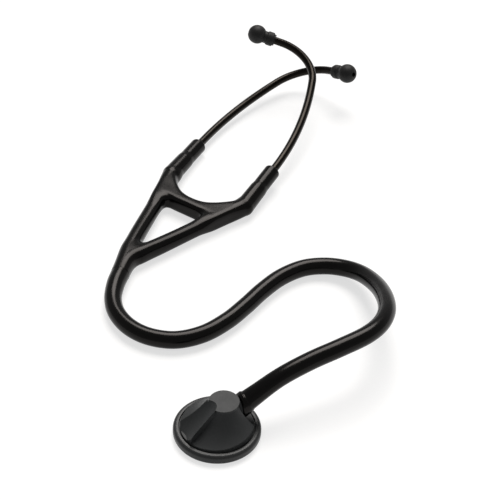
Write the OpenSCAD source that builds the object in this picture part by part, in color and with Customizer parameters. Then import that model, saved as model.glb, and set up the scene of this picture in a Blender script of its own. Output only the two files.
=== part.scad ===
// Single-head stethoscope with two sprung ear tubes, lying on a table.
// Millimetres, +Z up. The table is z = 0, the origin is the middle of the listening face,
// and the headset lies along +Y with its right ear tube on the +X side.

/* [Chestpiece] */
// Outside diameter of the snap-on rim
rim_d = 51; // [48:0.5:54]
// Height of the rim
rim_h = 6.2; // [5.8:0.1:6.6]
// Radial thickness of the rim outside the body
rim_wall = 3.1; // [2.8:0.1:3.5]
// Radius of the rim's rounded outer edges
rim_round = 2.2; // [1:0.1:2.6]
// Reach of the rim's lip under the body
lip_reach = 1.7; // [1.3:0.1:2.1]
// Thickness of the rim's lip
lip_t = 1.2; // [1:0.1:1.4]
// Radial snap clearance between rim and body
snap_gap = 0.1; // [0.05:0.05:0.2]
// Width of the open groove between rim and body
groove_w = 0.9; // [0.5:0.1:1.3]
// Depth of the open groove
groove_t = 1.4; // [0.8:0.1:1.8]
// Height of the body's flat shoulder above the table
shoulder_h = 6.8; // [6.6:0.1:7.6]
// Diameter of the hub's flat top
hub_d = 17.8; // [16:0.2:19]
// Height of the hub's flat top above the table
hub_h = 24; // [23:0.5:26]
// Offset of the hub from the middle, toward the stem
hub_offset = 4; // [3:0.5:5]
// Height of the upright edge under the hub's flat top
hub_edge = 1.6; // [0.8:0.2:2.4]
// Hollow of the flared flank, measured from a straight cone
flank_hollow = 2.2; // [0.8:0.2:3]
// Half width of the nose where it leaves the hub
nose_top_w = 5.2; // [4.4:0.2:6]
// Half width of the nose at the rim
nose_foot_w = 8.4; // [7:0.2:9.4]
// Hollow of the nose's sides, measured from straight ones
nose_hollow = 0.8; // [0.4:0.1:1.2]
// Height of the nose's foot above the shoulder
nose_foot_h = 2.6; // [1.6:0.2:3.4]
// Depth of the finger groove at the hub end of the nose
groove_top_depth = 2.2; // [1.4:0.2:2.8]
// Depth of the finger groove at the foot of the nose
groove_foot_depth = 3.2; // [2:0.2:3.6]
// Half angle of the flat shoulder left clear under the hose
clear_angle = 44; // [36:2:52]
// Depth of the sound bowl in the underside
bowl_depth = 2.6; // [1.8:0.2:3]
// Width of the seat between the bowl and the body's edge
bowl_seat_w = 2.8; // [2.4:0.2:3.6]

/* [Diaphragm] */
// Height of the diaphragm's face above the table
face_recess = 0.2; // [0.1:0.05:0.3]
// Thickness of the diaphragm
diaphragm_t = 0.5; // [0.3:0.05:0.6]
// Radial gap between the diaphragm and the rim's lip
diaphragm_gap = 0.6; // [0.4:0.1:0.9]
// Thickness of the surround's clamped bead
bead_t = 1.2; // [0.9:0.1:1.5]
// Thickness of the surround's thin web
web_t = 0.5; // [0.3:0.05:0.7]
// Width of the bond between surround and diaphragm
bond_w = 2; // [1.4:0.2:3]

/* [Stem] */
// Direction of the stem in plan, from +X
stem_heading = 60; // [56:1:64]
// Upward slope of the stem
stem_rise = 29; // [27:1:31]
// Gap between the hose's thick end and the flat shoulder
hose_lift = 0.5; // [0.3:0.1:1]
// How far the boss stands out past the hub
boss_proud = 0.4; // [0.3:0.1:1]
// Diameter of the boss that carries the stem
boss_d = 12.8; // [11.6:0.2:13.4]
// Diameter of the stem in its socket
stem_d = 6; // [5.4:0.1:6.6]
// Bore of the stem and of the body's sound passage
stem_bore_d = 3.4; // [2.6:0.1:3.8]
// Depth of the stem's socket in the boss
socket_l = 9; // [7:0.5:10]
// Length of the stem inside the hose
spigot_l = 15; // [11:0.5:18]
// Height of each barb above the spigot
barb_h = 0.35; // [0.2:0.05:0.5]
// Number of barbs on the spigot
barb_count = 3; // [2:1:4]

/* [Hose] */
// Outside diameter of the hose
hose_d = 11; // [10:0.2:12]
// Outside diameter of the hose's thick collar at the chestpiece
hose_collar_d = 14; // [13.2:0.2:14.4]
// Length of the hose's collar
hose_collar_l = 5.5; // [5:0.5:6.5]
// Length over which the collar drops to the hose's neck
collar_run_l = 2; // [1.5:0.5:3]
// Diameter of the neck behind the collar
hose_neck_d = 12.4; // [12:0.1:12.8]
// Length over which the neck narrows to the plain hose
hose_neck_l = 24; // [18:1:30]
// Bore of the hose
hose_bore_d = 5.4; // [4.6:0.1:5.6]
// Length of the straight run at either end
straight_l = 12; // [11:1:14]

/* [Yoke] */
// Place of the headset's middle line along X
headset_x = -132.7; // [-136:0.1:-130]
// Height of the yoke's middle plane above the table
yoke_z = 6.4; // [6.4:0.1:7]
// Diameter of the fork's two limbs
limb_d = 10.2; // [9.8:0.1:11]
// Diameter of the yoke at the hose's entry
entry_d = 11.4; // [11:0.1:11.8]
// Diameter of the yoke at the crotch
crotch_d = 12; // [11.8:0.1:12.2]
// Distance between the two elbows
elbow_spacing = 60.5; // [58:0.1:63]
// Place of the elbows along Y
elbow_y = 177.4; // [174:0.2:181]
// Height of the crossbar
bar_h = 12; // [11.4:0.1:12.1]
// Width of the crossbar between its upright walls
bar_w = 9.4; // [9.2:0.1:10.2]
// Bend radius of the crossbar's ends
bar_bend_r = 22.2; // [20:0.2:23]
// Place of the fork along Y, where the limbs part
fork_y = 101; // [98:1:104]
// Half distance between the limbs at the fork
fork_half = 6.5; // [6:0.5:8]
// How far inside the elbows the fork's limbs end
limb_inset = 1.8; // [0.8:0.2:2.4]
// Place of the hose's entry along Y
entry_y = 74; // [70:1:78]
// Offset of the hose's entry from the middle line
entry_x = 5.5; // [4.5:0.1:6.5]
// Turn of the hose's entry to the left
entry_turn = 22; // [19:1:25]
// Length of the sleeves from the elbow
sleeve_l = 39.5; // [38:0.5:41]
// Diameter of the sleeves
sleeve_d = 11; // [10.6:0.1:11.4]
// Diameter of a sleeve's thick base at the elbow
base_d = 12.6; // [12.5:0.1:12.8]
// Diameter of the thick base where it ends
base_end_d = 11.9; // [11.6:0.1:12.2]
// Length of the thick base
base_l = 18; // [15:0.5:20]
// Length over which the thick base drops to the sleeve
base_run_l = 5; // [3:0.5:6]
// Bevel of the sleeve's open edge
sleeve_bevel = 0.6; // [0.3:0.1:1]
// Bore of the sound passages in the yoke
yoke_bore_d = 4; // [3:0.2:4.4]

/* [Ear tubes] */
// Outside diameter of the ear tubes
tube_d = 5.6; // [5.4:0.1:5.8]
// Wall of the ear tubes
tube_wall = 0.7; // [0.5:0.05:1]
// Lean of the left sleeve to the left at rest
left_lean = 7.8; // [7.2:0.1:8.4]
// Lean of the right sleeve to the left at rest
right_lean = 5.6; // [5:0.1:6.2]
// Slope of the left arm at rest
left_pitch = -0.9; // [-1:0.1:-0.3]
// Slope of the right arm at rest
right_pitch = 6.3; // [6:0.1:7.4]
// Twist of the tube's bends out of the headset's plane
tube_twist = 19.2; // [17:0.2:20.4]
// Distance from the elbow to the tube's inner end
tube_start = 8; // [6:0.5:9]
// Distance from the elbow to the start of the long bend
shank_l = 42; // [41.5:0.5:46]
// Radius of the long bend
bow_r = 237; // [220:1:255]
// Angle of the long bend
bow_angle = 22.2; // [21:0.2:23]
// Radius of the hook at the top
hook_r = 28.6; // [26:0.2:31]
// Angle of the hook
hook_angle = 85.5; // [83:0.5:92]
// Straight length after the hook
tail_l = 13.5; // [12.5:0.1:14.5]
// Radial clearance between the tube and what turns or slides on it
tube_gap = 0.05; // [0.02:0.01:0.08]

/* [Spring] */
// Thickness of the leaf spring
spring_t = 0.7; // [0.5:0.05:0.9]
// Width of the leaf spring
spring_w = 4.4; // [3.6:0.2:4.8]
// Offset of the spring from the crossbar's middle, toward the ear tubes
spring_lead = 1; // [0.4:0.2:2]
// Outside diameter of the clips that hold the ear tubes
clip_d = 7; // [6.8:0.1:7.2]
// Length of the clips
clip_l = 10; // [8:0.5:11]
// Clearance between clip and leaf spring
clip_gap = 0.15; // [0.1:0.05:0.3]
// Clearance of the moulded pockets round the clip and spring
pocket_gap = 0.05; // [0.02:0.01:0.1]

/* [Eartips] */
// Diameter of the eartip's ball
ball_d = 13.6; // [12.8:0.2:14.2]
// Distance from the tube's end to the middle of the ball
ball_reach = 5.5; // [5:0.1:6.5]
// Diameter of the eartip's collar
collar_d = 10.2; // [9.6:0.2:10.8]
// Rounding of the collar's edge toward the tube
collar_round = 1.2; // [0.6:0.1:1.6]
// Rounding of the collar's edge toward the ball
collar_ease = 1.8; // [1.2:0.1:2.2]
// Diameter of the waist between collar and ball
waist_d = 8.8; // [8.4:0.1:9.2]
// Diameter of the core that snaps on the tube
core_d = 7.4; // [7.2:0.1:7.8]
// Length of the core
core_l = 8.5; // [8:0.5:9.5]
// Diameter of the core's flange
flange_d = 8.2; // [7.9:0.1:8.8]
// Thickness of the core's flange
flange_t = 1; // [0.7:0.1:1.4]
// Height of the snap bead on the tube
bead_h = 0.35; // [0.25:0.05:0.45]
// Width of the snap bead
bead_w = 1.2; // [0.8:0.1:1.6]
// Diameter of the sound outlet
outlet_d = 3.4; // [2.8:0.2:4]

/* [Hidden] */
$fn = 64;

// Overlap of a cut past the face that it opens
cut = 0.5;
// Swell of the ball that joins two lengths of one bar
joint_swell = 0.05;
// Step between the radii of limbs that run into each other
limb_step = 0.12;
// Step that keeps the faces of one turned body from lying on each other
face_step = 0.2;
// Turn of the hub and the boss on their axes, which keeps the seams of their round faces apart
seam_turn = 70;
// Sides of a limb
right = 1;
left = -1;

// Chestpiece: radii and heights
rim_r = rim_d / 2;
rim_bore_r = rim_r - rim_wall;
body_r = rim_bore_r - snap_gap;
lip_r = body_r - lip_reach;
flank_r = body_r - groove_w;
seat_h = lip_t + bead_t;
hub_r = hub_d / 2;
stem_r = stem_d / 2;
diaphragm_r = lip_r - diaphragm_gap;
diaphragm_top = face_recess + diaphragm_t;

// Flank: a circle hollows the straight cone between the hub and the shoulder
cone_top = [hub_r, hub_h - hub_edge];
cone_foot = [flank_r + hub_offset, shoulder_h];
cone_chord = norm(cone_top - cone_foot);
hollow_r = (pow(cone_chord / 2, 2) + pow(flank_hollow, 2)) / (2 * flank_hollow);
cone_slope = atan2(cone_top[1] - cone_foot[1], cone_foot[0] - cone_top[0]);
hollow_center = (cone_top + cone_foot) / 2
    + (hollow_r - flank_hollow) * [sin(cone_slope), cos(cone_slope)];

// Nose: its top line runs from the hub's edge to the rim, in the stem's upright plane
nose_top = [hub_offset - hub_r + 1, 0, hub_h];
nose_foot = [-flank_r, 0, shoulder_h + nose_foot_h];
nose_line = (nose_foot - nose_top) / norm(nose_foot - nose_top);
nose_up = [nose_line[2], 0, -nose_line[0]];

// Stem: the boss ends in an upright face past the hub, and the axis clears the shoulder there
boss_reach = hub_offset + hub_r + boss_proud;
boss_s = boss_reach / cos(stem_rise);
stem_root_h = shoulder_h + hose_lift + hose_collar_d / 2 / cos(stem_rise)
    - boss_reach * tan(stem_rise);
stem_dir = [
    cos(stem_rise) * cos(stem_heading),
    cos(stem_rise) * sin(stem_heading),
    sin(stem_rise)
];
function on_stem(s) = [0, 0, stem_root_h] + s * stem_dir;

// Yoke: points of its limbs in the table's plane
limb_r = limb_d / 2;
elbow_half = elbow_spacing / 2;
bar_y = elbow_y - bar_bend_r;
bar_half = elbow_half - bar_bend_r;
entry_dir = [-sin(entry_turn), cos(entry_turn), 0];
entry = [headset_x + entry_x, entry_y, yoke_z];
crotch = [headset_x, entry_y + entry_x / tan(entry_turn), yoke_z];
function limb_end(side) = yoke_point(side, elbow_half - limb_inset, elbow_y - limb_inset);
function yoke_point(side, half, y) = [headset_x + side * half, y, yoke_z];

// Ear tube and eartip: radii, and places along the straight tail
tube_r = tube_d / 2;
tube_bore_r = tube_r - tube_wall;
clip_start = tube_start + 2;
spring_lap = 2;
spring_offset = clip_d / 2 + clip_gap + spring_t / 2;
spring_bend_r = bar_bend_r - spring_lead;
spring_half = bar_half - spring_offset + spring_lead;
core_start = tail_l - core_l + 0.5;
bead_place = tail_l - 2.5;
ball_center = tail_l + ball_reach;

// Route of the hose between its two straight ends, chosen by eye from the way it lies
hose_free = [
    [19.3, 35.4, 28], [28.1, 53, 32], [37.2, 70.7, 34], [44.1, 87.8, 34.5],
    [45.5, 102, 33.5], [42.1, 115.8, 31], [34.9, 128.6, 27], [24.4, 141.4, 21.5],
    [12.4, 152, 15.8], [-0.8, 159.7, 10.6], [-13.4, 161.3, 7.6], [-26, 157.2, 6.1],
    [-36.5, 147.3, 5.7], [-42.8, 131.6, 5.8], [-45.1, 113.5, 5.8], [-45.5, 95.5, 5.8],
    [-46.9, 77.4, 5.8], [-51.8, 59.2, 5.8], [-62.1, 45.1, 5.7], [-76.5, 37.9, 5.8],
    [-91.4, 37.4, 5.8], [-105.4, 42.6, 5.8], [-115.6, 51.4, 6]
];
hose_points = concat(
    [on_stem(boss_s), on_stem(boss_s + straight_l)],
    hose_free,
    [entry - straight_l * entry_dir, entry]
);
hose_steps = 2;
hose_sides = 12;
hose_bore_sides = 8;

// Smooth curve through the route's points
function pick(points, i) = points[max(0, min(len(points) - 1, i))];
function smooth_point(p0, p1, p2, p3, t) = 0.5 * (
    2 * p1 + (p2 - p0) * t
    + (2 * p0 - 5 * p1 + 4 * p2 - p3) * t * t
    + (3 * p1 - p0 - 3 * p2 + p3) * t * t * t
);
function smooth_route(points, steps) = [
    for (i = [0 : len(points) - 2])
        for (k = [0 : (i == len(points) - 2 ? steps : steps - 1)])
            smooth_point(
                pick(points, i - 1), pick(points, i), pick(points, i + 1), pick(points, i + 2),
                k / steps
            )
];
function unit(v) = v / norm(v);
function run_length(route, i) = i == 0 ? 0 : run_length(route, i - 1) + norm(route[i] - route[i - 1]);
function heading_at(route, i) =
    i == 0 ? stem_dir
    : i == len(route) - 1 ? entry_dir
    : unit(route[i + 1] - route[i - 1]);

// Ring of points round a route, with the first side kept level, square to it or slanted by a slope
function ring(center, heading, radius, sides, slant) =
    let (across = unit(cross(heading, [0, 0, 1])), over = cross(across, heading))
    [
        for (k = [0 : sides - 1])
            center + radius * (
                cos(k * 360 / sides) * across
                + sin(k * 360 / sides) * (over + slant * heading)
            )
    ];

// Slope that turns the hose's first ring upright, against the boss
function slant_at(i) = i == 0 ? tan(stem_rise) : 0;

// Radius of the hose at a distance from the chestpiece
function hose_r(s) = lookup(s, [
    [hose_collar_l, hose_collar_d / 2],
    [hose_collar_l + collar_run_l, hose_neck_d / 2],
    [hose_collar_l + collar_run_l + hose_neck_l, hose_d / 2]
]);

// Route of the hose: two more rings at the collar, then the smooth curve
function hose_route() =
    let (curve = smooth_route(hose_points, hose_steps))
    concat(
        [for (s = [0, hose_collar_l, hose_collar_l + collar_run_l]) on_stem(boss_s + s)],
        [for (i = [hose_steps : len(curve) - 1]) curve[i]]
    );

// Two triangles for each cell between rings; the order of the corners sets the outside
function wall_faces(start, rings, sides, outward) = [
    for (i = [0 : rings - 2], k = [0 : sides - 1], half = [0, 1])
        let (
            a = start + i * sides + k,
            b = start + i * sides + (k + 1) % sides,
            c = a + sides,
            d = b + sides,
            face = half == 0 ? [a, b, d] : [a, d, c]
        )
        outward ? face : [face[2], face[1], face[0]]
];

// Rod from one point to another
module rod(from, to, r1, r2) {
    span = to - from;
    translate(from)
        rotate([0, acos(span[2] / norm(span)), atan2(span[1], span[0])])
            cylinder(h = norm(span), r1 = r1, r2 = r2);
}

// Frame of the chestpiece: X runs toward the stem
module at_chest() {
    rotate([0, 0, stem_heading]) children();
}

// Frame of the stem: Z runs out along its axis
module at_stem(s) {
    translate(on_stem(s)) rotate([0, 90 - stem_rise, stem_heading]) children();
}

// Frame of an arm: Y runs up the sleeve from the elbow, -X points to the other arm
module at_arm(side) {
    translate(yoke_point(side, elbow_half, elbow_y))
        rotate([0, 0, side == right ? right_lean : left_lean])
            rotate([side == right ? right_pitch : left_pitch, 0, 0])
                mirror([side == left ? 1 : 0, 0, 0]) children();
}

// Round bar along Y
module y_rod(start, length, r) {
    translate([0, start, 0]) rotate([-90, 0, 0]) cylinder(h = length, r = r);
}

// Step round a bend toward -X
module after_bend(r, angle) {
    translate([-r, 0, 0]) rotate([0, 0, angle]) translate([r, 0, 0]) children();
}

// Round bar along a bend toward -X
module bent_rod(bend_r, angle, r) {
    translate([-bend_r, 0, 0]) rotate_extrude(angle = angle) translate([bend_r, 0]) circle(r);
}

// Frame of an ear tube's straight tail: Y runs out along it
module at_tail(side) {
    at_arm(side)
        rotate([0, tube_twist, 0])
            translate([0, shank_l, 0])
                after_bend(bow_r, bow_angle) after_bend(hook_r, hook_angle) children();
}

// Turned piece on the tail: the profile's second coordinate runs out along Y
module turned_on_tail(side) {
    at_tail(side) rotate([-90, 0, 0]) rotate_extrude() children();
}

// Flared hub with its flank cut away under the hose
module flank() {
    difference() {
        intersection() {
            translate([hub_offset, 0, 0])
                rotate_extrude()
                    difference() {
                        translate([0, seat_h + face_step])
                            square([cone_foot[0], hub_h - hub_edge / 2 - seat_h - face_step]);
                        translate(hollow_center) circle(hollow_r);
                    }
            cylinder(h = hub_h, r = flank_r - face_step);
        }
        translate([0, 0, shoulder_h])
            linear_extrude(hub_h)
                polygon([
                    [hub_offset, 0], [hub_offset + rim_d, rim_d * tan(clear_angle)],
                    [hub_offset + rim_d, -rim_d * tan(clear_angle)]
                ]);
    }
}

// Raised nose from the hub to the rim, opposite the stem, with hollow sides
module nose() {
    side_top = [nose_top[0], nose_top_w];
    side_foot = [nose_foot[0], nose_foot_w];
    side_line = unit(side_foot - side_top);
    side_r = (pow(norm(side_foot - side_top) / 2, 2) + pow(nose_hollow, 2)) / (2 * nose_hollow);
    side_center = (side_top + side_foot) / 2
        + (side_r - nose_hollow) * [side_line[1], -side_line[0]];
    intersection() {
        rotate([90, 0, 0])
            linear_extrude(rim_d, center = true)
                polygon([
                    [hub_offset, seat_h + 2 * face_step], [hub_offset, hub_h], [nose_top[0], nose_top[2]],
                    [nose_foot[0], nose_foot[2]], [nose_foot[0], seat_h + 2 * face_step]
                ]);
        linear_extrude(hub_h)
            difference() {
                polygon([
                    [nose_top[0], nose_top_w + face_step], [nose_foot[0], nose_foot_w + face_step],
                    [nose_foot[0], -nose_foot_w - face_step], [nose_top[0], -nose_top_w - face_step]
                ]);
                for (side = [left, right])
                    translate([side_center[0], side * side_center[1]]) circle(side_r);
            }
        cylinder(h = hub_h, r = flank_r - face_step / 2);
    }
}

// Cone that scoops the finger groove out of the nose, leaving a crest on either side
module finger_groove() {
    top_r = (pow(nose_top_w, 2) + pow(groove_top_depth, 2)) / (2 * groove_top_depth);
    foot_r = (pow(nose_foot_w, 2) + pow(groove_foot_depth, 2)) / (2 * groove_foot_depth);
    top = nose_top + (top_r - groove_top_depth) * nose_up;
    foot = nose_foot + (foot_r - groove_foot_depth) * nose_up;
    overrun = 0.3;
    rod(
        top - overrun * (foot - top), foot + overrun * (foot - top),
        top_r - overrun * (foot_r - top_r), foot_r + overrun * (foot_r - top_r)
    );
}

module chestpiece_body() {
    color([0.22, 0.22, 0.23])
    difference() {
        union() {
            translate([0, 0, seat_h]) cylinder(h = rim_h - groove_t - seat_h, r = body_r);
            translate([0, 0, seat_h]) cylinder(h = shoulder_h - seat_h, r = flank_r);
            at_chest() difference() {
                union() {
                    flank();
                    nose();
                    translate([hub_offset, 0, seat_h + face_step])
                        rotate([0, 0, seam_turn])
                            cylinder(h = hub_h - seat_h - face_step, r = hub_r);
                }
                finger_groove();
            }
            intersection() {
                at_stem(hub_offset)
                    rotate([0, 0, seam_turn])
                        cylinder(h = boss_s + boss_d - hub_offset, r = boss_d / 2);
                at_chest() translate([0, -boss_d, 0]) cube([boss_reach, 2 * boss_d, 2 * hub_h]);
            }
        }
        translate([0, 0, seat_h])
            cylinder(h = bowl_depth, r1 = body_r - bowl_seat_w, r2 = stem_bore_d / 2);
        translate([0, 0, seat_h])
            cylinder(h = stem_root_h + stem_bore_d / 2 - seat_h, r = stem_bore_d / 2 + face_step);
        at_stem(0) cylinder(h = boss_s, r = stem_bore_d / 2);
        at_stem(boss_s - socket_l) cylinder(h = socket_l + boss_d, r = stem_r);
    }
}

// Barbed nipple pressed into the boss
module stem() {
    barb_pitch = spigot_l / barb_count;
    color([0.75, 0.75, 0.77])
    at_stem(boss_s - socket_l) difference() {
        union() {
            cylinder(h = socket_l + spigot_l, r = stem_r);
            for (i = [1 : barb_count])
                translate([0, 0, socket_l + i * barb_pitch - barb_pitch / 2])
                    cylinder(h = barb_pitch / 2, r1 = stem_r + barb_h, r2 = stem_r);
        }
        translate([0, 0, -cut])
            cylinder(h = socket_l + spigot_l + 2 * cut, r = stem_bore_d / 2);
    }
}

// Snap-on ring that holds the diaphragm and stands on the table
module diaphragm_rim() {
    color([0.24, 0.24, 0.24])
    rotate_extrude() difference() {
        union() {
            translate([lip_r, 0]) square([rim_r - rim_round - lip_r, rim_h]);
            translate([rim_r - rim_round, rim_round]) square([rim_round, rim_h - 2 * rim_round]);
            translate([rim_r - rim_round, rim_round]) circle(rim_round);
            translate([rim_r - rim_round, rim_h - rim_round]) circle(rim_round);
        }
        translate([lip_r - cut, lip_t]) square([rim_bore_r - lip_r + cut, rim_h]);
    }
}

module diaphragm() {
    color([0.85, 0.85, 0.83])
    translate([0, 0, face_recess]) cylinder(h = diaphragm_t, r = diaphragm_r);
}

// Soft ring that lets the diaphragm float
module diaphragm_surround() {
    color([0.12, 0.12, 0.12])
    rotate_extrude()
        polygon([
            [diaphragm_r - bond_w, diaphragm_top], [diaphragm_r, diaphragm_top],
            [diaphragm_r, lip_t], [body_r, lip_t], [body_r, seat_h], [lip_r, seat_h],
            [lip_r, lip_t + web_t], [diaphragm_r - bond_w, lip_t + web_t]
        ]);
}

// Hose swept along its route, with its bore
module hose() {
    route = hose_route();
    count = len(route);
    skin = [
        for (i = [0 : count - 1])
            let (r = hose_r(run_length(route, i)))
            each ring(route[i], heading_at(route, i), r, hose_sides, slant_at(i))
    ];
    bore = [
        for (i = [0 : count - 1])
            each ring(route[i], heading_at(route, i), hose_bore_d / 2, hose_bore_sides, slant_at(i))
    ];
    inner = len(skin);
    ratio = hose_bore_sides / hose_sides;
    function near_bore(k) = floor(k * ratio + 0.5) % hose_bore_sides;
    function end_faces(base_out, base_in, flip) = [
        for (k = [0 : hose_sides - 1])
            let (
                next = (k + 1) % hose_sides,
                p = base_in + near_bore(k),
                q = base_in + near_bore(next),
                fan = [base_out + k, p, base_out + next],
                gap = [p, q, base_out + next]
            )
            each concat(
                [flip ? [fan[2], fan[1], fan[0]] : fan],
                p == q ? [] : [flip ? [gap[2], gap[1], gap[0]] : gap]
            )
    ];
    color([0.08, 0.08, 0.08])
    polyhedron(
        points = concat(skin, bore),
        faces = concat(
            wall_faces(0, count, hose_sides, true),
            wall_faces(inner, count, hose_bore_sides, false),
            end_faces(0, inner, false),
            end_faces(inner - hose_sides, inner + (count - 1) * hose_bore_sides, true)
        )
    );
}

// Limbs of the yoke from the hose's entry to the elbows, with balls where they meet
module limbs(r) {
    rod(entry, crotch, entry_d / 2, crotch_d / 2);
    translate(crotch) rotate([90, 0, 0]) sphere(crotch_d / 2 + 2 * limb_step);
    for (side = [left, right]) {
        fork = yoke_point(side, fork_half, fork_y);
        elbow = yoke_point(side, elbow_half, elbow_y);
        rod(crotch, fork, r - limb_step, r - limb_step);
        translate(fork) rotate([90, 0, 0]) sphere(r + 2 * limb_step);
        rod(fork, limb_end(side), r + limb_step, r + limb_step);
        translate(elbow) rotate([90, 0, 0]) sphere(base_d / 2 - limb_step);
        translate(limb_end(side)) rotate([90, 0, 0]) sphere(r + 2 * limb_step);
    }
}

// Sound passages inside the limbs, with a small upright chamber where they meet
module sound_passages(r) {
    rod(entry - cut * entry_dir, crotch, r, r);
    chamber(crotch, 2 * r);
    for (side = [left, right]) {
        fork = yoke_point(side, fork_half, fork_y);
        elbow = yoke_point(side, elbow_half, elbow_y);
        rod(crotch, fork, r - limb_step, r - limb_step);
        chamber(fork, r + 2 * limb_step);
        rod(fork, elbow, r - limb_step, r - limb_step);
        chamber(elbow, r + 3 * limb_step);
    }
}

// Short upright chamber, a little taller than the passages that it joins
module chamber(place, r) {
    height = yoke_bore_d + 8 * limb_step;
    translate(place - [0, 0, height / 2]) cylinder(h = height, r = r);
}

// Section of the crossbar: rounded over and under, with upright walls
module bar_section(grow) {
    intersection() {
        circle(bar_h / 2 + grow);
        square([bar_w + 2 * grow, 2 * bar_h], center = true);
    }
}

// Straight length of the crossbar along X
module bar_length(place, length, grow) {
    translate(place) rotate([90, 0, 90]) linear_extrude(length, center = true) bar_section(grow);
}

// Crossbar with its bent ends up to the elbows, and a short band where one length meets the next
module crossbar() {
    bar_length([headset_x, bar_y, yoke_z], 2 * bar_half, 0);
    for (side = [left, right]) {
        bar_length(yoke_point(side, bar_half, bar_y), 1, joint_swell);
        translate(yoke_point(side, bar_half, elbow_y))
            mirror([side == left ? 1 : 0, 0, 0])
                rotate([0, 0, -90])
                    rotate_extrude(angle = 90) translate([bar_bend_r, 0]) bar_section(0);
    }
}

// Sleeve round an ear tube, thick at the elbow
module sleeve(side) {
    at_arm(side)
        rotate([-90, 0, 0])
            rotate_extrude()
                polygon([
                    [0, 0], [base_d / 2, 0], [base_end_d / 2, base_l], [sleeve_d / 2, base_l + base_run_l],
                    [sleeve_d / 2, sleeve_l - sleeve_bevel], [sleeve_d / 2 - sleeve_bevel, sleeve_l],
                    [0, sleeve_l]
                ]);
}

// Moulded fork with a sleeve for either ear tube
module yoke() {
    color([0.10, 0.10, 0.11])
    difference() {
        union() {
            limbs(limb_r);
            crossbar();
            for (side = [left, right]) sleeve(side);
        }
        sound_passages(yoke_bore_d / 2);
        for (side = [left, right])
            at_arm(side) {
                y_rod(0, tube_start, yoke_bore_d / 2);
                y_rod(tube_start, sleeve_l - tube_start + cut, tube_r + tube_gap);
                y_rod(clip_start - pocket_gap, clip_l + 2 * pocket_gap, clip_d / 2 + pocket_gap);
            }
        spring_strip(pocket_gap);
    }
}

// Flat strip bent in a U inside the crossbar, along the inner side of the sleeves
module spring_strip(grow) {
    thick = spring_t + 2 * grow;
    wide = spring_w + 2 * grow;
    translate([headset_x, bar_y + spring_lead, yoke_z])
        cube([2 * spring_half, thick, wide], center = true);
    for (side = [left, right]) {
        translate([headset_x + side * spring_half, elbow_y, yoke_z])
            mirror([side == left ? 1 : 0, 0, 0])
                rotate([0, 0, -90])
                    rotate_extrude(angle = 90)
                        translate([spring_bend_r, 0]) square([thick, wide], center = true);
        at_arm(side)
            translate([-spring_offset, (clip_start + clip_l - spring_lap) / 2, 0])
                cube([thick, clip_start + clip_l + spring_lap + 2 * grow, wide], center = true);
    }
}

module leaf_spring() {
    color([0.55, 0.56, 0.58]) spring_strip(0);
}

// Bent metal tube from the sleeve to the eartip, with its snap bead
module ear_tube(side) {
    color([0.20, 0.19, 0.18])
    difference() {
        union() {
            tube_run(side, tube_r, 0);
            at_tail(side) y_rod(bead_place, bead_w, tube_r + bead_h);
        }
        tube_run(side, tube_bore_r, cut);
    }
}

// Round bar along the whole ear tube, with a ball where one length meets the next
module tube_run(side, r, over) {
    at_arm(side)
        rotate([0, tube_twist, 0]) {
            y_rod(tube_start - over, shank_l - tube_start + over, r);
            translate([0, shank_l, 0]) {
                sphere(r + joint_swell);
                bent_rod(bow_r, bow_angle, r);
                after_bend(bow_r, bow_angle) {
                    sphere(r + joint_swell);
                    bent_rod(hook_r, hook_angle, r);
                    after_bend(hook_r, hook_angle) {
                        sphere(r + joint_swell);
                        y_rod(0, tail_l + over, r);
                    }
                }
            }
        }
}

// Crimped ring that ties an ear tube to the leaf spring
module spring_clip(side) {
    color([0.60, 0.60, 0.62])
    at_arm(side) difference() {
        y_rod(clip_start, clip_l, clip_d / 2);
        y_rod(clip_start - cut, clip_l + 2 * cut, tube_r);
    }
}

// Stiff core that snaps over the bead and turns on the tube
module tip_core(side) {
    color([0.16, 0.16, 0.17])
    turned_on_tail(side) difference() {
        union() {
            translate([0, core_start]) square([core_d / 2, core_l]);
            translate([0, core_start]) square([flange_d / 2, flange_t]);
        }
        translate([0, core_start - cut]) square([tube_r + tube_gap, core_l + 2 * cut]);
        translate([0, bead_place - tube_gap])
            square([tube_r + bead_h + tube_gap, bead_w + 2 * tube_gap]);
    }
}

// Soft tip: collar, waist and ball round the core, with the sound outlet
module eartip(side) {
    collar_foot = core_start + flange_t;
    collar_top = ball_center - ball_d / 2;
    collar_l = collar_top - collar_foot;
    color([0.17, 0.17, 0.18])
    turned_on_tail(side) difference() {
        union() {
            translate([0, collar_foot]) square([collar_d / 2 - collar_ease, collar_l]);
            translate([0, collar_foot])
                square([collar_d / 2 - collar_round, collar_l - collar_ease]);
            translate([0, collar_foot + collar_round])
                square([collar_d / 2, collar_l - collar_round - collar_ease]);
            translate([collar_d / 2 - collar_round, collar_foot + collar_round]) circle(collar_round);
            translate([collar_d / 2 - collar_ease, collar_top - collar_ease]) circle(collar_ease);
            translate([0, collar_top - collar_ease]) square([waist_d / 2, ball_d / 2 + collar_ease]);
            intersection() {
                translate([0, ball_center]) circle(ball_d / 2);
                translate([0, collar_top]) square([ball_d, 2 * ball_d]);
            }
        }
        translate([-cut, core_start]) square([core_d / 2 + cut, core_l]);
        translate([-cut, core_start]) square([outlet_d / 2 + cut, 3 * ball_d]);
        translate([-ball_d, 0]) square([ball_d, 3 * ball_d]);
    }
}

module left_ear_tube() { ear_tube(left); }
module right_ear_tube() { ear_tube(right); }
module left_spring_clip() { spring_clip(left); }
module right_spring_clip() { spring_clip(right); }
module left_tip_core() { tip_core(left); }
module right_tip_core() { tip_core(right); }
module left_eartip() { eartip(left); }
module right_eartip() { eartip(right); }

chestpiece_body();
stem();
diaphragm_rim();
diaphragm();
diaphragm_surround();
hose();
yoke();
leaf_spring();
left_ear_tube();
right_ear_tube();
left_spring_clip();
right_spring_clip();
left_tip_core();
right_tip_core();
left_eartip();
right_eartip();
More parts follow.
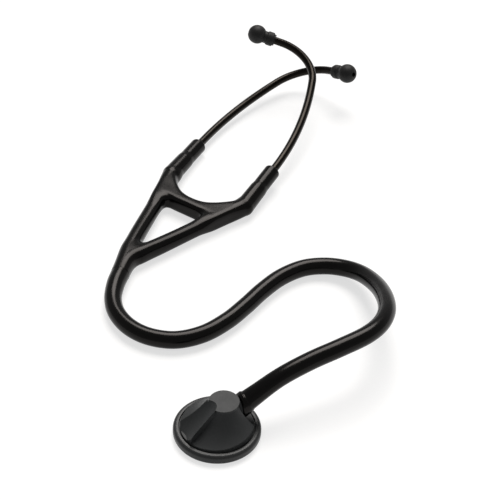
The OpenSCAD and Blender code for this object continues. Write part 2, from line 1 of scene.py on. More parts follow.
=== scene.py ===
"""Looks of the stethoscope: camera, hose, moulded yoke, finishes, floor and light.

Lengths in the shape code are millimetres in the part's own frame, and MM turns them into metres.
"""

import math

import bmesh
import bpy
import numpy as np
from mathutils import Matrix, Vector


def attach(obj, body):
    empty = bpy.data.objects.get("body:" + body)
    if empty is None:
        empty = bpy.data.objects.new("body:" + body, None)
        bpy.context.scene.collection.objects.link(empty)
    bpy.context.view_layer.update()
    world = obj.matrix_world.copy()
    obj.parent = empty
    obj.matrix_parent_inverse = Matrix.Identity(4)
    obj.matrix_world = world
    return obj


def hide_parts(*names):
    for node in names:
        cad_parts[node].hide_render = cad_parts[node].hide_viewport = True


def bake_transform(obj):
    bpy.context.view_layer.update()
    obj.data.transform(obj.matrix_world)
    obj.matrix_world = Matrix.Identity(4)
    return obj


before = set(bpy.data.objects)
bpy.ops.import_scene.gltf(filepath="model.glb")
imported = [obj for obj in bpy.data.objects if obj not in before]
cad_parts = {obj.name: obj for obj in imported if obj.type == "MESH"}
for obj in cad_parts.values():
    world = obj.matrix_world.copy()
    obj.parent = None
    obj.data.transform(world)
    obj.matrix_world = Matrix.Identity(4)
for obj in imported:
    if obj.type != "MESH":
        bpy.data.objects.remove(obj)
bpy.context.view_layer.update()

MM = 0.001
ROOT = "chestpiece_hose_and_yoke"
SIDES = {"left": -1, "right": 1}
scene = bpy.context.scene


# Camera: found from the photograph's perspective

CAMERA_AT = Vector((0.3786, -0.5547, 0.6910))
CAMERA_TARGET = Vector((-0.0780, 0.1483, 0.0))
CAMERA_ROLL = math.radians(2)
CAMERA_LENS = 119.5
SENSOR = 36
CLIP_NEAR, CLIP_FAR = 0.01, 100


def add_camera():
    forward = (CAMERA_TARGET - CAMERA_AT).normalized()
    level = forward.cross(Vector((0, 0, 1))).normalized()
    steep = level.cross(forward)
    c, s = math.cos(CAMERA_ROLL), math.sin(CAMERA_ROLL)
    across, up = c * level + s * steep, c * steep - s * level
    data = bpy.data.cameras.new("camera")
    data.lens, data.sensor_width = CAMERA_LENS, SENSOR
    data.clip_start, data.clip_end = CLIP_NEAR, CLIP_FAR
    camera = bpy.data.objects.new("camera", data)
    scene.collection.objects.link(camera)
    turn = Matrix((across, up, -forward)).transposed().to_4x4()
    camera.matrix_world = Matrix.Translation(CAMERA_AT) @ turn
    scene.camera = camera


add_camera()


# Meshes from arrays

def add_mesh(name, points, faces, smooth=True):
    """A mesh object from points in millimetres and a list of faces."""
    mesh = bpy.data.meshes.new(name)
    mesh.from_pydata((np.asarray(points) * MM).tolist(), [], faces)
    mesh.polygons.foreach_set("use_smooth", [smooth] * len(mesh.polygons))
    mesh.update()
    made = bpy.data.objects.new(name, mesh)
    scene.collection.objects.link(made)
    return made


def unit(v):
    return v / np.linalg.norm(v)


def ease(x):
    """A smooth step from 0 to 1."""
    x = np.clip(x, 0, 1)
    return x * x * (3 - 2 * x)


def run_along(route):
    """Distance of each point of a route from its start."""
    return np.concatenate([[0], np.cumsum(np.linalg.norm(np.diff(route, axis=0), axis=1))])


def ring_faces(rings, sides):
    """Quads between rings of points, and a face over each end."""
    faces = [
        [
            i * sides + k, i * sides + (k + 1) % sides,
            (i + 1) * sides + (k + 1) % sides, (i + 1) * sides + k,
        ]
        for i in range(rings - 1) for k in range(sides)
    ]
    last = (rings - 1) * sides
    return faces + [list(range(sides))[::-1], [last + k for k in range(sides)]]


# Hose: the same route as the solid, with a finer skin

SHOULDER_H, HUB_OFFSET, HUB_R = 6.8, 4, 8.9
HOSE_LIFT, BOSS_PROUD = 0.5, 0.4
STEM_HEADING, STEM_RISE = math.radians(60), math.radians(29)
STEM_DIR = np.array([
    math.cos(STEM_RISE) * math.cos(STEM_HEADING),
    math.cos(STEM_RISE) * math.sin(STEM_HEADING),
    math.sin(STEM_RISE),
])
HOSE_D, HOSE_COLLAR_D, HOSE_NECK_D = 11, 14, 12.4
HOSE_COLLAR_L, COLLAR_RUN_L, HOSE_NECK_L = 5.5, 2, 24
BOSS_REACH = HUB_OFFSET + HUB_R + BOSS_PROUD
BOSS_S, STRAIGHT_L = BOSS_REACH / math.cos(STEM_RISE), 12
STEM_ROOT_H = (
    SHOULDER_H + HOSE_LIFT + HOSE_COLLAR_D / 2 / math.cos(STEM_RISE)
    - BOSS_REACH * math.tan(STEM_RISE)
)
HEADSET_X, YOKE_Z = -132.7, 6.4
ENTRY_X, ENTRY_Y, ENTRY_TURN = 5.5, 74, math.radians(22)
ENTRY = np.array([HEADSET_X + ENTRY_X, ENTRY_Y, YOKE_Z])
ENTRY_DIR = np.array([-math.sin(ENTRY_TURN), math.cos(ENTRY_TURN), 0])
ENTRY_R, SWELL_L, SWELL_PROUD = 6, 28, 0.05
HOSE_STEPS, HOSE_SIDES = 9, 48
# The collar's rounded lip: distances from its end and how far the skin falls back there
LIP_AT, LIP_FALL = [0, 0.12, 0.4, 0.9], [0.8, 0.38, 0.1, 0]
COLLAR_RINGS = np.arange(1.4, 10, 0.4)
PLAIN_RINGS_FROM, UPRIGHT_L = 10.2, 8
HOSE_FREE = [
    [19.3, 35.4, 28], [28.1, 53, 32], [37.2, 70.7, 34], [44.1, 87.8, 34.5],
    [45.5, 102, 33.5], [42.1, 115.8, 31], [34.9, 128.6, 27], [24.4, 141.4, 21.5],
    [12.4, 152, 15.8], [-0.8, 159.7, 10.6], [-13.4, 161.3, 7.6], [-26, 157.2, 6.1],
    [-36.5, 147.3, 5.7], [-42.8, 131.6, 5.8], [-45.1, 113.5, 5.8], [-45.5, 95.5, 5.8],
    [-46.9, 77.4, 5.8], [-51.8, 59.2, 5.8], [-62.1, 45.1, 5.7], [-76.5, 37.9, 5.8],
    [-91.4, 37.4, 5.8], [-105.4, 42.6, 5.8], [-115.6, 51.4, 6],
]


def on_stem(s):
    return np.array([0, 0, STEM_ROOT_H]) + s * STEM_DIR


def smooth_route(points, steps):
    """Points of a smooth curve through the given ones, as the solid's source draws it."""
    p = np.array([points[0], *points, points[-1]], float)
    route = []
    for p0, p1, p2, p3 in zip(p, p[1:], p[2:], p[3:]):
        for t in np.arange(steps) / steps:
            route.append(0.5 * (
                2 * p1 + (p2 - p0) * t + (2 * p0 - 5 * p1 + 4 * p2 - p3) * t ** 2
                + (3 * p1 - p0 - 3 * p2 + p3) * t ** 3
            ))
    return np.array([*route, p[-1]])


def add_tube(name, route, headings, radii, slants, sides):
    """A round tube of rings on a route, closed at both ends, with a map round and along it.

    slants: slope of each ring against the square position, as the tangent of its angle.
    """
    turn = np.linspace(0, 2 * math.pi, sides, endpoint=False)
    points = []
    for center, heading, radius, slant in zip(route, headings, radii, slants):
        heading = unit(heading)
        across = unit(np.cross(heading, [0, 0, 1]))
        over = np.cross(across, heading) + slant * heading
        ring = np.outer(np.cos(turn), across) + np.outer(np.sin(turn), over)
        points.append(center + radius * ring)
    made = add_mesh(name, np.concatenate(points), ring_faces(len(route), sides))
    along = run_along(route) * MM
    layer = made.data.uv_layers.new(name="round_and_along")
    for face in made.data.polygons:
        ks = [made.data.loops[i].vertex_index % sides for i in face.loop_indices]
        wraps = max(ks) - min(ks) > sides / 2
        for i, k in zip(face.loop_indices, ks):
            ring = made.data.loops[i].vertex_index // sides
            layer.data[i].uv = ((k + sides if wraps and k == 0 else k) / sides, along[ring])
    return made


def hose_radius(s):
    """Radius of the hose at distances from the chestpiece: collar, neck, plain hose, swell."""
    drop = ease((s - HOSE_COLLAR_L) / COLLAR_RUN_L)
    narrow = np.clip((s - HOSE_COLLAR_L - COLLAR_RUN_L) / HOSE_NECK_L, 0, 1)
    neck = HOSE_NECK_D + (HOSE_D - HOSE_NECK_D) * narrow * (2 - narrow)
    lip = np.interp(s, LIP_AT, LIP_FALL)
    swell = (ENTRY_R + SWELL_PROUD - HOSE_D / 2) * ease((s - s[-1] + SWELL_L) / SWELL_L)
    return (HOSE_COLLAR_D + (neck - HOSE_COLLAR_D) * drop) / 2 - lip + swell


def add_hose():
    points = [
        on_stem(BOSS_S), on_stem(BOSS_S + STRAIGHT_L), *HOSE_FREE,
        ENTRY - STRAIGHT_L * ENTRY_DIR, ENTRY,
    ]
    route = smooth_route(points, HOSE_STEPS)
    run = run_along(route)
    # Closer rings at the collar, the first of them upright against the chestpiece
    s = np.concatenate([LIP_AT, COLLAR_RINGS, run[run > PLAIN_RINGS_FROM]])
    fine = np.stack([np.interp(s, run, route[:, i]) for i in range(3)], 1)
    headings = np.gradient(fine, s, axis=0)
    headings[:len(LIP_AT)], headings[-1] = STEM_DIR, ENTRY_DIR
    slants = math.tan(STEM_RISE) * (1 - ease(s / UPRIGHT_L))
    made = add_tube("hose_skin", fine, headings, hose_radius(s), slants, HOSE_SIDES)
    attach(made, ROOT)
    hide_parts("hose")
    return made


hose = add_hose()


# Yoke: one smooth moulding, found as the surface of a distance field

ELBOW_HALF, ELBOW_Y = 30.25, 177.4
LIMB_R, CROTCH_R = 5.1, 6.2
BAR_BEND_R, BAR_HALF_W, BAR_HALF_H = 22.2, 4.7, 6
BAR_Y = ELBOW_Y - BAR_BEND_R
CROTCH_Y = ENTRY_Y + ENTRY_X / math.tan(ENTRY_TURN)
FORK_HALF, FORK_Y, LIMB_INSET = 6.5, 101, 1.8
LEG_TURN = math.atan2(ELBOW_HALF - LIMB_INSET - FORK_HALF, ELBOW_Y - LIMB_INSET - FORK_Y)
SLEEVE_L, SLEEVE_R, BASE_R, BASE_END_R, BASE_L, BASE_RUN_L = 39.5, 5.5, 6.3, 5.95, 18, 5
LEAN = {"left": math.radians(7.8), "right": math.radians(5.6)}
PITCH = {"left": math.radians(-0.9), "right": math.radians(6.3)}
TUBE_HOLE_R, TUBE_HOLE_L = 2.95, 6
MOUTH_EDGE, HOLE_EDGE = 1.1, 0.5
# The moulding reaches back over the hose's end by the lap
START_LAP, START_EDGE, LEAD_L = 1.2, 0.2, 6
# Lengths over which limbs thin out, rise to the crossbar and thicken to the sleeves
THIN_L, FALL_L, BAR_LEAD, BAR_RISE_L, ELBOW_RUN_L, BASE_INSET = 16, 50, 18, 14, 18, 0.1
# Exponents of the cross-section: 2 is round, and more is squarer
SQUARE, SQUARE_AT_BAR, SQUARE_AT_ELBOW = 2.3, 1.2, -0.3
# Webs: rounding in the corners in plan, where it starts and ends, and the crown on top
FORK_FILLET, HOLE_FILLET, MOUTH_FILLET, SLEEVE_FILLET = 7, 7, 20, 0.6
FORK_WEB, FORK_WEB_DROP, FORK_WEB_L, FORK_LEAD_L = 1.6, 0.6, 10, 8
WEB_EDGE, BAR_PAST_LIMB, FILLET_HALF_L, MOUTH_START, MOUTH_FADE_L = 4, 1, 3, 5, 20
CROWN = 3.5
# More rounding where the sleeves' inner flanks run into the webs
FLANK_FILLET, FLANK_X, FLANK_RUN = 3, 2.5, 5
# The net of points on the surface
CELL, SETTLE_ROUNDS = 0.6, 3
NET_LO = np.array([HEADSET_X - 43, ENTRY_Y - 5, YOKE_Z - 8])
NET_HI = np.array([HEADSET_X + 40, ELBOW_Y + SLEEVE_L + 3, YOKE_Z + 13])
SETTLE_KEEP, SETTLE_MOVE, STEP_LIMIT, SLOPE_FLOOR = 0.4, 0.6, 0.4, 0.2


def elbow(side):
    return np.array([HEADSET_X + SIDES[side] * ELBOW_HALF, ELBOW_Y, YOKE_Z])


def to_arm(points, side):
    """Points in the frame of an arm: Y up the sleeve from the elbow, -X to the other arm."""
    p = points - elbow(side)
    c, s = math.cos(LEAN[side]), math.sin(LEAN[side])
    x, y, z = c * p[:, 0] + s * p[:, 1], -s * p[:, 0] + c * p[:, 1], p[:, 2]
    c, s = math.cos(PITCH[side]), math.sin(PITCH[side])
    return np.stack([SIDES[side] * x, c * y + s * z, -s * y + c * z], 1)


def from_arm(points, side):
    x, y, z = SIDES[side] * points[:, 0], points[:, 1], points[:, 2]
    c, s = math.cos(PITCH[side]), math.sin(PITCH[side])
    y, z = c * y - s * z, s * y + c * z
    c, s = math.cos(LEAN[side]), math.sin(LEAN[side])
    return np.stack([c * x - s * y, s * x + c * y, z], 1) + elbow(side)


def soft_min(a, b, k):
    """The lower of two distances, rounded over a width k where they cross."""
    h = np.maximum(k - np.abs(a - b), 0) / np.maximum(k, 1e-6)
    return np.minimum(a, b) - h * h * k / 4


def soft_max(a, b, k):
    return -soft_min(-a, -b, k)


def segment_distance(x, y, a, b):
    dx, dy = b[0] - a[0], b[1] - a[1]
    t = np.clip(((x - a[0]) * dx + (y - a[1]) * dy) / (dx * dx + dy * dy), 0, 1)
    return np.hypot(x - a[0] - t * dx, y - a[1] - t * dy)


def line_distance(x, y, line):
    return np.min([segment_distance(x, y, a, b) for a, b in zip(line, line[1:])], 0)


def corner_cut(points, times):
    """The line through the points with its corners rounded off."""
    for _ in range(times):
        inner = [
            q for a, b in zip(points, points[1:])
            for q in (0.75 * a + 0.25 * b, 0.25 * a + 0.75 * b)
        ]
        points = [points[0], *inner[1:-1], points[-1]]
    return points


def leg_line(sign):
    """Middle line of one limb in plan, from the hose's entry through the crotch to its elbow."""
    return corner_cut([np.array(p, float) for p in (
        (ENTRY_X - LEAD_L * ENTRY_DIR[0], ENTRY_Y - LEAD_L * ENTRY_DIR[1]), (0, CROTCH_Y),
        (sign * FORK_HALF, FORK_Y),
        (sign * (FORK_HALF + (BAR_Y - FORK_Y) * math.tan(LEG_TURN)), BAR_Y),
        (sign * ELBOW_HALF, ELBOW_Y),
    )], 3)


LEG_LINES = [leg_line(sign) for sign in SIDES.values()]


def bar_distance(x, y):
    """Distance in plan to the crossbar's middle line, a U with its ends at the elbows."""
    a, flat = np.abs(x), ELBOW_HALF - BAR_BEND_R
    bend = np.abs(np.hypot(a - flat, y - ELBOW_Y) - BAR_BEND_R)
    end = np.hypot(a - ELBOW_HALF, y - ELBOW_Y)
    return np.where(y > ELBOW_Y, end, np.where(a < flat, np.abs(y - ELBOW_Y + BAR_BEND_R), bend))


def body_field(p):
    """Fork and crossbar: limbs blended in plan, with flat webs where they run together."""
    x, y, z = p[:, 0] - HEADSET_X, p[:, 1], p[:, 2] - YOKE_Z
    at_bar = ease((y - BAR_Y + BAR_LEAD) / BAR_RISE_L)
    at_elbow = ease((y - ELBOW_Y + ELBOW_RUN_L) / ELBOW_RUN_L)
    stout = (
        ENTRY_R + (CROTCH_R - ENTRY_R) * ease((y - ENTRY_Y) / (CROTCH_Y - ENTRY_Y))
        + (BASE_R - BASE_INSET - LIMB_R) * at_elbow
    )
    # The top falls more slowly than the sides draw in
    r = stout + (LIMB_R - CROTCH_R) * ease((y - CROTCH_Y) / THIN_L)
    high = stout + (LIMB_R - CROTCH_R) * ease((y - CROTCH_Y) / FALL_L)
    high = high + (BAR_HALF_H - LIMB_R) * at_bar * (1 - at_elbow)
    square = SQUARE + SQUARE_AT_BAR * at_bar * (1 - at_elbow) + SQUARE_AT_ELBOW * at_elbow
    first, second = [line_distance(x, y, line) - r for line in LEG_LINES]
    # Fillets only on the limbs' inner sides
    outward = (np.abs(x) - FORK_HALF) * math.cos(LEG_TURN) - (y - FORK_Y) * math.sin(LEG_TURN)
    inward = ease((WEB_EDGE - outward) / (2 * WEB_EDGE))
    web = inward * (
        FORK_WEB - FORK_WEB_DROP * ease((y - CROTCH_Y - FORK_WEB_L) / FORK_WEB_L)
    )
    fork = soft_min(first, second, FORK_FILLET * web * ease((y - CROTCH_Y) / FORK_LEAD_L))
    bar = np.maximum(bar_distance(x, y) - BAR_HALF_W, outward - BAR_PAST_LIMB)
    past_bar = ease((y - BAR_Y + FILLET_HALF_L) / (2 * FILLET_HALF_L))
    fillet = HOLE_FILLET + (MOUTH_FILLET - HOLE_FILLET) * past_bar
    fillet = fillet * inward * (1 - ease((y - BAR_Y - MOUTH_START) / MOUTH_FADE_L))
    plan = soft_min(fork, bar, fillet)
    across, up = soft_max(plan + r, 0, CROWN * at_bar) / r, np.abs(z) / high
    limb = r * ((across ** square + up ** square) ** (1 / square) - 1)
    start = -((p[:, 0] - ENTRY[0]) * ENTRY_DIR[0] + (p[:, 1] - ENTRY[1]) * ENTRY_DIR[1])
    return soft_max(limb, start - START_LAP, START_EDGE)


def sleeve_field(p, side):
    """One sleeve: a stout base at the elbow, a thinner end, and the ear tube's hole."""
    q = to_arm(p, side)
    rho, y = np.hypot(q[:, 0], q[:, 2]), q[:, 1]
    base = BASE_R + (BASE_END_R - BASE_R) * np.clip(y / BASE_L, 0, 1)
    r = base + (SLEEVE_R - base) * ease((y - BASE_L) / BASE_RUN_L)
    rho = np.where(y < 0, np.hypot(rho, y), rho)
    skin = soft_max(rho - r, y - SLEEVE_L, MOUTH_EDGE)
    hole = np.maximum(rho - TUBE_HOLE_R, SLEEVE_L - TUBE_HOLE_L - y)
    return soft_max(skin, -hole, HOLE_EDGE)


def yoke_field(p):
    d = body_field(p)
    for side in SIDES:
        inner = ease((-to_arm(p, side)[:, 0] - FLANK_X) / FLANK_RUN)
        d = soft_min(d, sleeve_field(p, side), SLEEVE_FILLET + FLANK_FILLET * inner)
    return d


def gradient(field, p, h=0.02):
    steps = np.eye(3) * h
    return np.stack([field(p + e) - field(p - e) for e in steps], 1) / (2 * h)


def surface_net(field, lo, hi, cell):
    """Quads on the zero surface of a field: one point in each cell that the surface crosses."""
    counts = np.ceil((np.array(hi) - lo) / cell).astype(int) + 1
    axes = [lo[i] + cell * np.arange(counts[i]) for i in range(3)]
    grid = np.stack(np.meshgrid(*axes, indexing="ij"), -1).reshape(-1, 3)
    value = field(grid).reshape(counts)
    cells = counts - 1
    total, weight = np.zeros((*cells, 3)), np.zeros(cells)
    corners = [np.array(c) for c in np.ndindex(2, 2, 2)]

    def corner(c):
        return value[c[0]:c[0] + cells[0], c[1]:c[1] + cells[1], c[2]:c[2] + cells[2]]

    for a in corners:
        for axis in range(3):
            if a[axis]:
                continue
            b = a.copy()
            b[axis] = 1
            va, vb = corner(a), corner(b)
            cross = (va < 0) != (vb < 0)
            t = np.where(cross, va / np.where(cross, va - vb, 1), 0)
            for i in range(3):
                total[..., i] += np.where(cross, a[i] + (t if i == axis else 0), 0)
            weight += cross
    inside = weight > 0
    index = np.full(cells, -1)
    index[inside] = np.arange(inside.sum())
    at = np.stack(np.nonzero(inside), 1)
    points = lo + cell * (at + total[inside] / weight[inside][:, None])
    faces = []
    for axis in range(3):
        u, v = (axis + 1) % 3, (axis + 2) % 3
        a = np.take(value, range(cells[axis]), axis)
        b = np.take(value, range(1, counts[axis]), axis)
        i = np.stack(np.nonzero((a < 0) != (b < 0)), 1)
        i = i[(i[:, u] > 0) & (i[:, v] > 0) & (i[:, u] < cells[u]) & (i[:, v] < cells[v])]
        du, dv = np.eye(3, dtype=int)[u], np.eye(3, dtype=int)[v]
        quad = np.stack([index[tuple(q.T)] for q in (i - du - dv, i - dv, i, i - du)], 1)
        flip = a[tuple(i.T)] >= 0
        quad[flip] = quad[flip][:, ::-1]
        faces.append(quad)
    return points, np.concatenate(faces)


def settle(field, points, faces, rounds):
    """Evens out a net's points and puts them back on the surface."""
    edges = np.concatenate([faces[:, [i, (i + 1) % 4]] for i in range(4)])
    for k in range(rounds + 1):
        if k < rounds:
            total, count = np.zeros_like(points), np.zeros(len(points))
            for a, b in ((0, 1), (1, 0)):
                np.add.at(total, edges[:, a], points[edges[:, b]])
                np.add.at(count, edges[:, a], 1)
            points = SETTLE_KEEP * points + SETTLE_MOVE * total / count[:, None]
        for _ in range(2):
            g = gradient(field, points)
            step = field(points) / np.maximum((g * g).sum(1), SLOPE_FLOOR)
            points = points - np.clip(step, -STEP_LIMIT, STEP_LIMIT)[:, None] * g
    return points


def half_mesh(name, points, faces, side):
    """One side of the yoke, cut at the headset's middle and closed there."""
    made = add_mesh(name, points, faces.tolist())
    bm = bmesh.new()
    bm.from_mesh(made.data)
    outward = Vector((-SIDES[side], 0, 0))
    middle = Vector((HEADSET_X * MM, 0, 0))
    cut = bmesh.ops.bisect_plane(
        bm, geom=[*bm.verts, *bm.edges, *bm.faces], plane_co=middle, plane_no=outward,
        clear_outer=True,
    )
    rim = [e for e in cut["geom_cut"] if isinstance(e, bmesh.types.BMEdge)]
    for face in bmesh.ops.holes_fill(bm, edges=rim, sides=0)["faces"]:
        face.smooth = False
    bm.normal_update()
    bm.to_mesh(made.data)
    bm.free()
    mesh = made.data
    co = np.zeros(len(mesh.vertices) * 3)
    mesh.vertices.foreach_get("co", co)
    normals = gradient(yoke_field, co.reshape(-1, 3) / MM)
    normals /= np.linalg.norm(normals, axis=1)[:, None]
    loops = np.zeros(len(mesh.loops), int)
    mesh.loops.foreach_get("vertex_index", loops)
    loop_normals = normals[loops]
    for face in mesh.polygons:
        if not face.use_smooth:
            loop_normals[list(face.loop_indices)] = outward
    mesh.normals_split_custom_set(loop_normals.tolist())
    return made


def bend_with_arm(piece):
    """Bakes the piece's placement into its mesh points."""
    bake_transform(piece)


def add_yoke():
    points, faces = surface_net(yoke_field, NET_LO, NET_HI, CELL)
    points = settle(yoke_field, points, faces, SETTLE_ROUNDS)
    halves = []
    for side in SIDES:
        made = half_mesh(side + "_yoke_half", points, faces, side)
        bend_with_arm(made)
        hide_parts("yoke")
        halves.append(made)
    return halves


yoke_halves = add_yoke()


# Leaf spring: a flat strip in the crossbar whose ends run on into the arms

SPRING_T, SPRING_W, SPRING_OFFSET, SPRING_LEAD, SPRING_END = 0.7, 4.4, 4.0, 1.0, 20
SPRING_START, SPRING_FLAT_STEPS, SPRING_BEND_POINTS, SPRING_ARM_POINTS = 1, 4, 24, 16


def add_spring_half(side):
    bend_r = BAR_BEND_R - SPRING_LEAD
    flat = ELBOW_HALF - SPRING_OFFSET - bend_r
    line = [
        (flat * k / SPRING_FLAT_STEPS, ELBOW_Y - bend_r) for k in range(SPRING_FLAT_STEPS)
    ]
    line += [
        (flat + bend_r * math.cos(a), ELBOW_Y + bend_r * math.sin(a))
        for a in np.radians(np.linspace(-90, 0, SPRING_BEND_POINTS))
    ]
    low = np.array([(HEADSET_X + SIDES[side] * x, y, YOKE_Z) for x, y in line])
    along = np.linspace(SPRING_START, SPRING_END, SPRING_ARM_POINTS)
    in_arm = np.stack([np.full_like(along, -SPRING_OFFSET), along, np.zeros_like(along)], 1)
    route = np.concatenate([low, from_arm(in_arm, side)])
    points = []
    for center, heading in zip(route, np.gradient(route, axis=0)):
        across = unit(np.cross(unit(heading), [0, 0, 1]))
        over = np.cross(across, unit(heading))
        points += [
            center + a * SPRING_T / 2 * across + b * SPRING_W / 2 * over
            for a, b in ((-1, -1), (1, -1), (1, 1), (-1, 1))
        ]
    made = add_mesh(side + "_spring_half", points, ring_faces(len(route), 4), smooth=False)
    bend_with_arm(made)
    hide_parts("leaf_spring")
    return made


spring_halves = [add_spring_half(side) for side in SIDES]


# Surround: the soft ring in the rim, whose bonded foot lies on the diaphragm's edge

SHEET_TOP, SHEET_R, BOND_W = 0.72, 20, 2
LIP_T, LIP_R, BODY_R, SEAT_H, WEB_T = 1.2, 20.6, 22.3, 2.4, 0.5
SURROUND_SIDES = 96


def add_surround():
    inner = SHEET_R - BOND_W
    profile = [
        (inner, SHEET_TOP), (SHEET_R, SHEET_TOP), (SHEET_R, LIP_T), (BODY_R, LIP_T),
        (BODY_R, SEAT_H), (LIP_R, SEAT_H), (LIP_R, LIP_T + WEB_T), (inner, LIP_T + WEB_T),
    ]
    turns = np.linspace(0, 2 * math.pi, SURROUND_SIDES, endpoint=False)
    points = [(r * math.cos(a), r * math.sin(a), z) for a in turns for r, z in profile]
    n, count = len(profile), len(points)
    faces = [
        [k + i, (k + n) % count + i, (k + n) % count + (i + 1) % n, k + (i + 1) % n]
        for k in range(0, count, n) for i in range(n)
    ]
    made = add_mesh("surround_ring", points, faces, smooth=False)
    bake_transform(made)
    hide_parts("diaphragm_surround")
    return made


surround = add_surround()


# Finishes

# Noise values between which colour and gloss drift
DRIFT = 0.3, 0.7


def finish_of(
    name, dark, light, roughness, grain, bump, metallic=0.0, specular=0.5, sheen=(1, 1, 1),
    stretch=None,
):
    """A procedural finish: slow colour drift, uneven gloss and a fine raised grain.

    dark, light: ends of the colour's drift; roughness: lowest and highest;
    grain: features per metre of drift, gloss and bump; bump: height in metres;
    sheen: colour of the reflections; stretch: scale of the grain on the map round and along.
    """
    material = bpy.data.materials.new(name)
    material.use_nodes = True
    tree = material.node_tree
    shader = tree.nodes["Principled BSDF"]
    shader.inputs["Metallic"].default_value = metallic
    shader.inputs["Specular IOR Level"].default_value = specular
    shader.inputs["Specular Tint"].default_value = (*sheen, 1)
    place = tree.nodes.new("ShaderNodeTexCoord").outputs["UV" if stretch else "Object"]
    if stretch:
        mapping = tree.nodes.new("ShaderNodeMapping")
        mapping.inputs["Scale"].default_value = stretch
        tree.links.new(place, mapping.inputs["Vector"])
        place = mapping.outputs["Vector"]

    def noise(scale, detail):
        made = tree.nodes.new("ShaderNodeTexNoise")
        made.inputs["Scale"].default_value = scale
        made.inputs["Detail"].default_value = detail
        tree.links.new(place, made.inputs["Vector"])
        return made.outputs["Fac"]

    ramp = tree.nodes.new("ShaderNodeValToRGB")
    for stop, position, color in zip(ramp.color_ramp.elements, DRIFT, (dark, light)):
        stop.position, stop.color = position, (*color, 1)
    tree.links.new(noise(grain[0], 5), ramp.inputs["Fac"])
    tree.links.new(ramp.outputs["Color"], shader.inputs["Base Color"])
    gloss = tree.nodes.new("ShaderNodeMapRange")
    gloss.inputs["From Min"].default_value, gloss.inputs["From Max"].default_value = DRIFT
    gloss.inputs["To Min"].default_value, gloss.inputs["To Max"].default_value = roughness
    tree.links.new(noise(grain[1], 4), gloss.inputs["Value"])
    tree.links.new(gloss.outputs["Result"], shader.inputs["Roughness"])
    raised = tree.nodes.new("ShaderNodeBump")
    raised.inputs["Distance"].default_value = bump
    raised.inputs["Strength"].default_value = 1
    tree.links.new(noise(grain[2], 2), raised.inputs["Height"])
    tree.links.new(raised.outputs["Normal"], shader.inputs["Normal"])
    return material


def grey(value, tint=(1, 1, 1)):
    """A linear colour from a picture value of 0 to 255."""
    c = value / 255
    linear = c / 12.92 if c <= 0.04045 else ((c + 0.055) / 1.055) ** 2.4
    return tuple(linear * t for t in tint)


RUBBER_SHEEN = (1, 0.94, 0.91)
STEEL_TINT = (0.95, 1, 1.03)
TUBE_TINT = (1, 0.88, 0.76)
hose_rubber = finish_of(
    "hose_rubber", grey(8), grey(12), (0.17, 0.22), (3, 6, 30), 0.000002,
    specular=0.16, sheen=RUBBER_SHEEN, stretch=(6, 40, 1),
)
yoke_rubber = finish_of(
    "yoke_rubber", grey(8), grey(12), (0.18, 0.23), (60, 150, 500), 0.000001,
    specular=0.14, sheen=RUBBER_SHEEN,
)
coated_steel = finish_of(
    "coated_steel", grey(53, STEEL_TINT), grey(58, STEEL_TINT), (0.42, 0.48), (90, 400, 5000),
    0.000003, specular=0.18,
)
rim_plastic = finish_of(
    "rim_plastic", grey(40, STEEL_TINT), grey(46, STEEL_TINT), (0.34, 0.4), (90, 300, 4000),
    0.000004, specular=0.3,
)
tube_metal = finish_of(
    "ear_tube_metal", grey(32, TUBE_TINT), grey(37, TUBE_TINT), (0.2, 0.26), (60, 300, 2000),
    0.000002, metallic=1, specular=0.2,
)
tip_rubber = finish_of(
    "soft_rubber", grey(25), grey(30), (0.5, 0.58), (200, 500, 3000), 0.000006, specular=0.3,
)
core_plastic = finish_of(
    "core_plastic", grey(24), grey(29), (0.3, 0.4), (200, 500, 3000), 0.000004, specular=0.3,
)
bare_steel = finish_of(
    "bare_steel", grey(180), grey(195), (0.22, 0.34), (200, 900, 5000), 0.000004, metallic=1,
)
sheet_film = finish_of(
    "diaphragm_sheet", grey(84), grey(92), (0.25, 0.35), (120, 300, 2500), 0.000006,
)

FINISHES = {
    "chestpiece_body": coated_steel, "diaphragm_rim": rim_plastic, "stem": bare_steel,
    "diaphragm": sheet_film,
    "left_ear_tube": tube_metal, "right_ear_tube": tube_metal,
    "left_spring_clip": bare_steel, "right_spring_clip": bare_steel,
    "left_tip_core": core_plastic, "right_tip_core": core_plastic,
    "left_eartip": tip_rubber, "right_eartip": tip_rubber,
}


def dress(piece, material):
    piece.data.materials.clear()
    piece.data.materials.append(material)


for node, material in FINISHES.items():
    dress(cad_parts[node], material)
dress(hose, hose_rubber)
dress(surround, tip_rubber)
for piece in yoke_halves:
    dress(piece, yoke_rubber)
for piece in spring_halves:
    dress(piece, bare_steel)


# Floor, sky and light

# The floor lies a hair under the part; its lift is what makes it white to the eye
FLOOR_HALF, FLOOR_Z = 40, -0.1
FLOOR_GREY, FLOOR_LIFT = 0.4, 0.66
SKY_LOW, SKY_HIGH, SKY_HIGH_AT = 0.5, 0.3, 0.8
KEY_FROM = Vector((-0.27, 0.57, 1.0))
KEY_STRENGTH, KEY_SPREAD = 2.9, math.radians(38)
KEY_COLOR = (1, 0.97, 0.94)


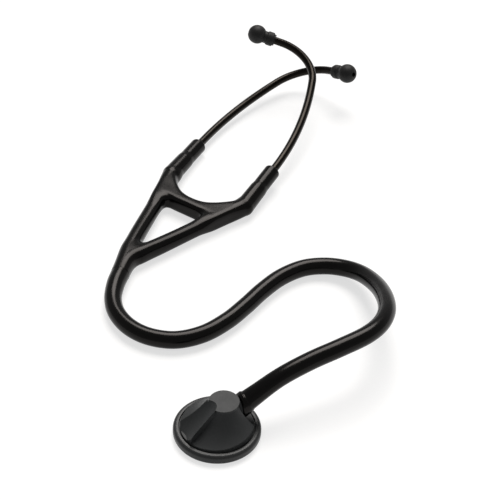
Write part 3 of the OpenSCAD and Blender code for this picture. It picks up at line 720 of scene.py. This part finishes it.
def add_floor():
    h = FLOOR_HALF / MM
    corners = [(-h, -h, FLOOR_Z), (h, -h, FLOOR_Z), (h, h, FLOOR_Z), (-h, h, FLOOR_Z)]
    floor = add_mesh("floor", corners, [[0, 1, 2, 3]])
    material = bpy.data.materials.new("floor")
    material.use_nodes = True
    tree = material.node_tree
    tree.nodes.clear()
    matte = tree.nodes.new("ShaderNodeBsdfDiffuse")
    matte.inputs["Color"].default_value = (FLOOR_GREY, FLOOR_GREY, FLOOR_GREY, 1)
    lift = tree.nodes.new("ShaderNodeEmission")
    path = tree.nodes.new("ShaderNodeLightPath")
    seen = path.outputs["Is Camera Ray"]
    for other in ("Is Glossy Ray", "Is Transmission Ray"):
        either = tree.nodes.new("ShaderNodeMath")
        either.operation = "MAXIMUM"
        tree.links.new(seen, either.inputs[0])
        tree.links.new(path.outputs[other], either.inputs[1])
        seen = either.outputs["Value"]
    amount = tree.nodes.new("ShaderNodeMath")
    amount.operation = "MULTIPLY"
    amount.inputs[1].default_value = FLOOR_LIFT
    tree.links.new(seen, amount.inputs[0])
    tree.links.new(amount.outputs["Value"], lift.inputs["Strength"])
    both = tree.nodes.new("ShaderNodeAddShader")
    tree.links.new(matte.outputs["BSDF"], both.inputs[0])
    tree.links.new(lift.outputs["Emission"], both.inputs[1])
    output = tree.nodes.new("ShaderNodeOutputMaterial")
    tree.links.new(both.outputs["Shader"], output.inputs["Surface"])
    dress(floor, material)


def add_sky():
    """A soft even sky, a little brighter near the horizon."""
    world = bpy.data.worlds.new("sky")
    scene.world = world
    world.use_nodes = True
    tree = world.node_tree
    tree.nodes.clear()
    place = tree.nodes.new("ShaderNodeTexCoord")
    split = tree.nodes.new("ShaderNodeSeparateXYZ")
    tree.links.new(place.outputs["Generated"], split.inputs["Vector"])
    level = tree.nodes.new("ShaderNodeMapRange")
    level.inputs["From Min"].default_value, level.inputs["From Max"].default_value = 0, SKY_HIGH_AT
    level.inputs["To Min"].default_value, level.inputs["To Max"].default_value = SKY_LOW, SKY_HIGH
    tree.links.new(split.outputs["Z"], level.inputs["Value"])
    sky = tree.nodes.new("ShaderNodeBackground")
    tree.links.new(level.outputs["Result"], sky.inputs["Strength"])
    output = tree.nodes.new("ShaderNodeOutputWorld")
    tree.links.new(sky.outputs["Background"], output.inputs["Surface"])


def add_key():
    data = bpy.data.lights.new("key", "SUN")
    data.energy, data.angle, data.color = KEY_STRENGTH, KEY_SPREAD, KEY_COLOR
    key = bpy.data.objects.new("key", data)
    key.rotation_mode = "QUATERNION"
    key.rotation_quaternion = (-KEY_FROM).to_track_quat("-Z", "Y")
    scene.collection.objects.link(key)


add_floor()
add_sky()
add_key()
scene.view_settings.view_transform = "Standard"
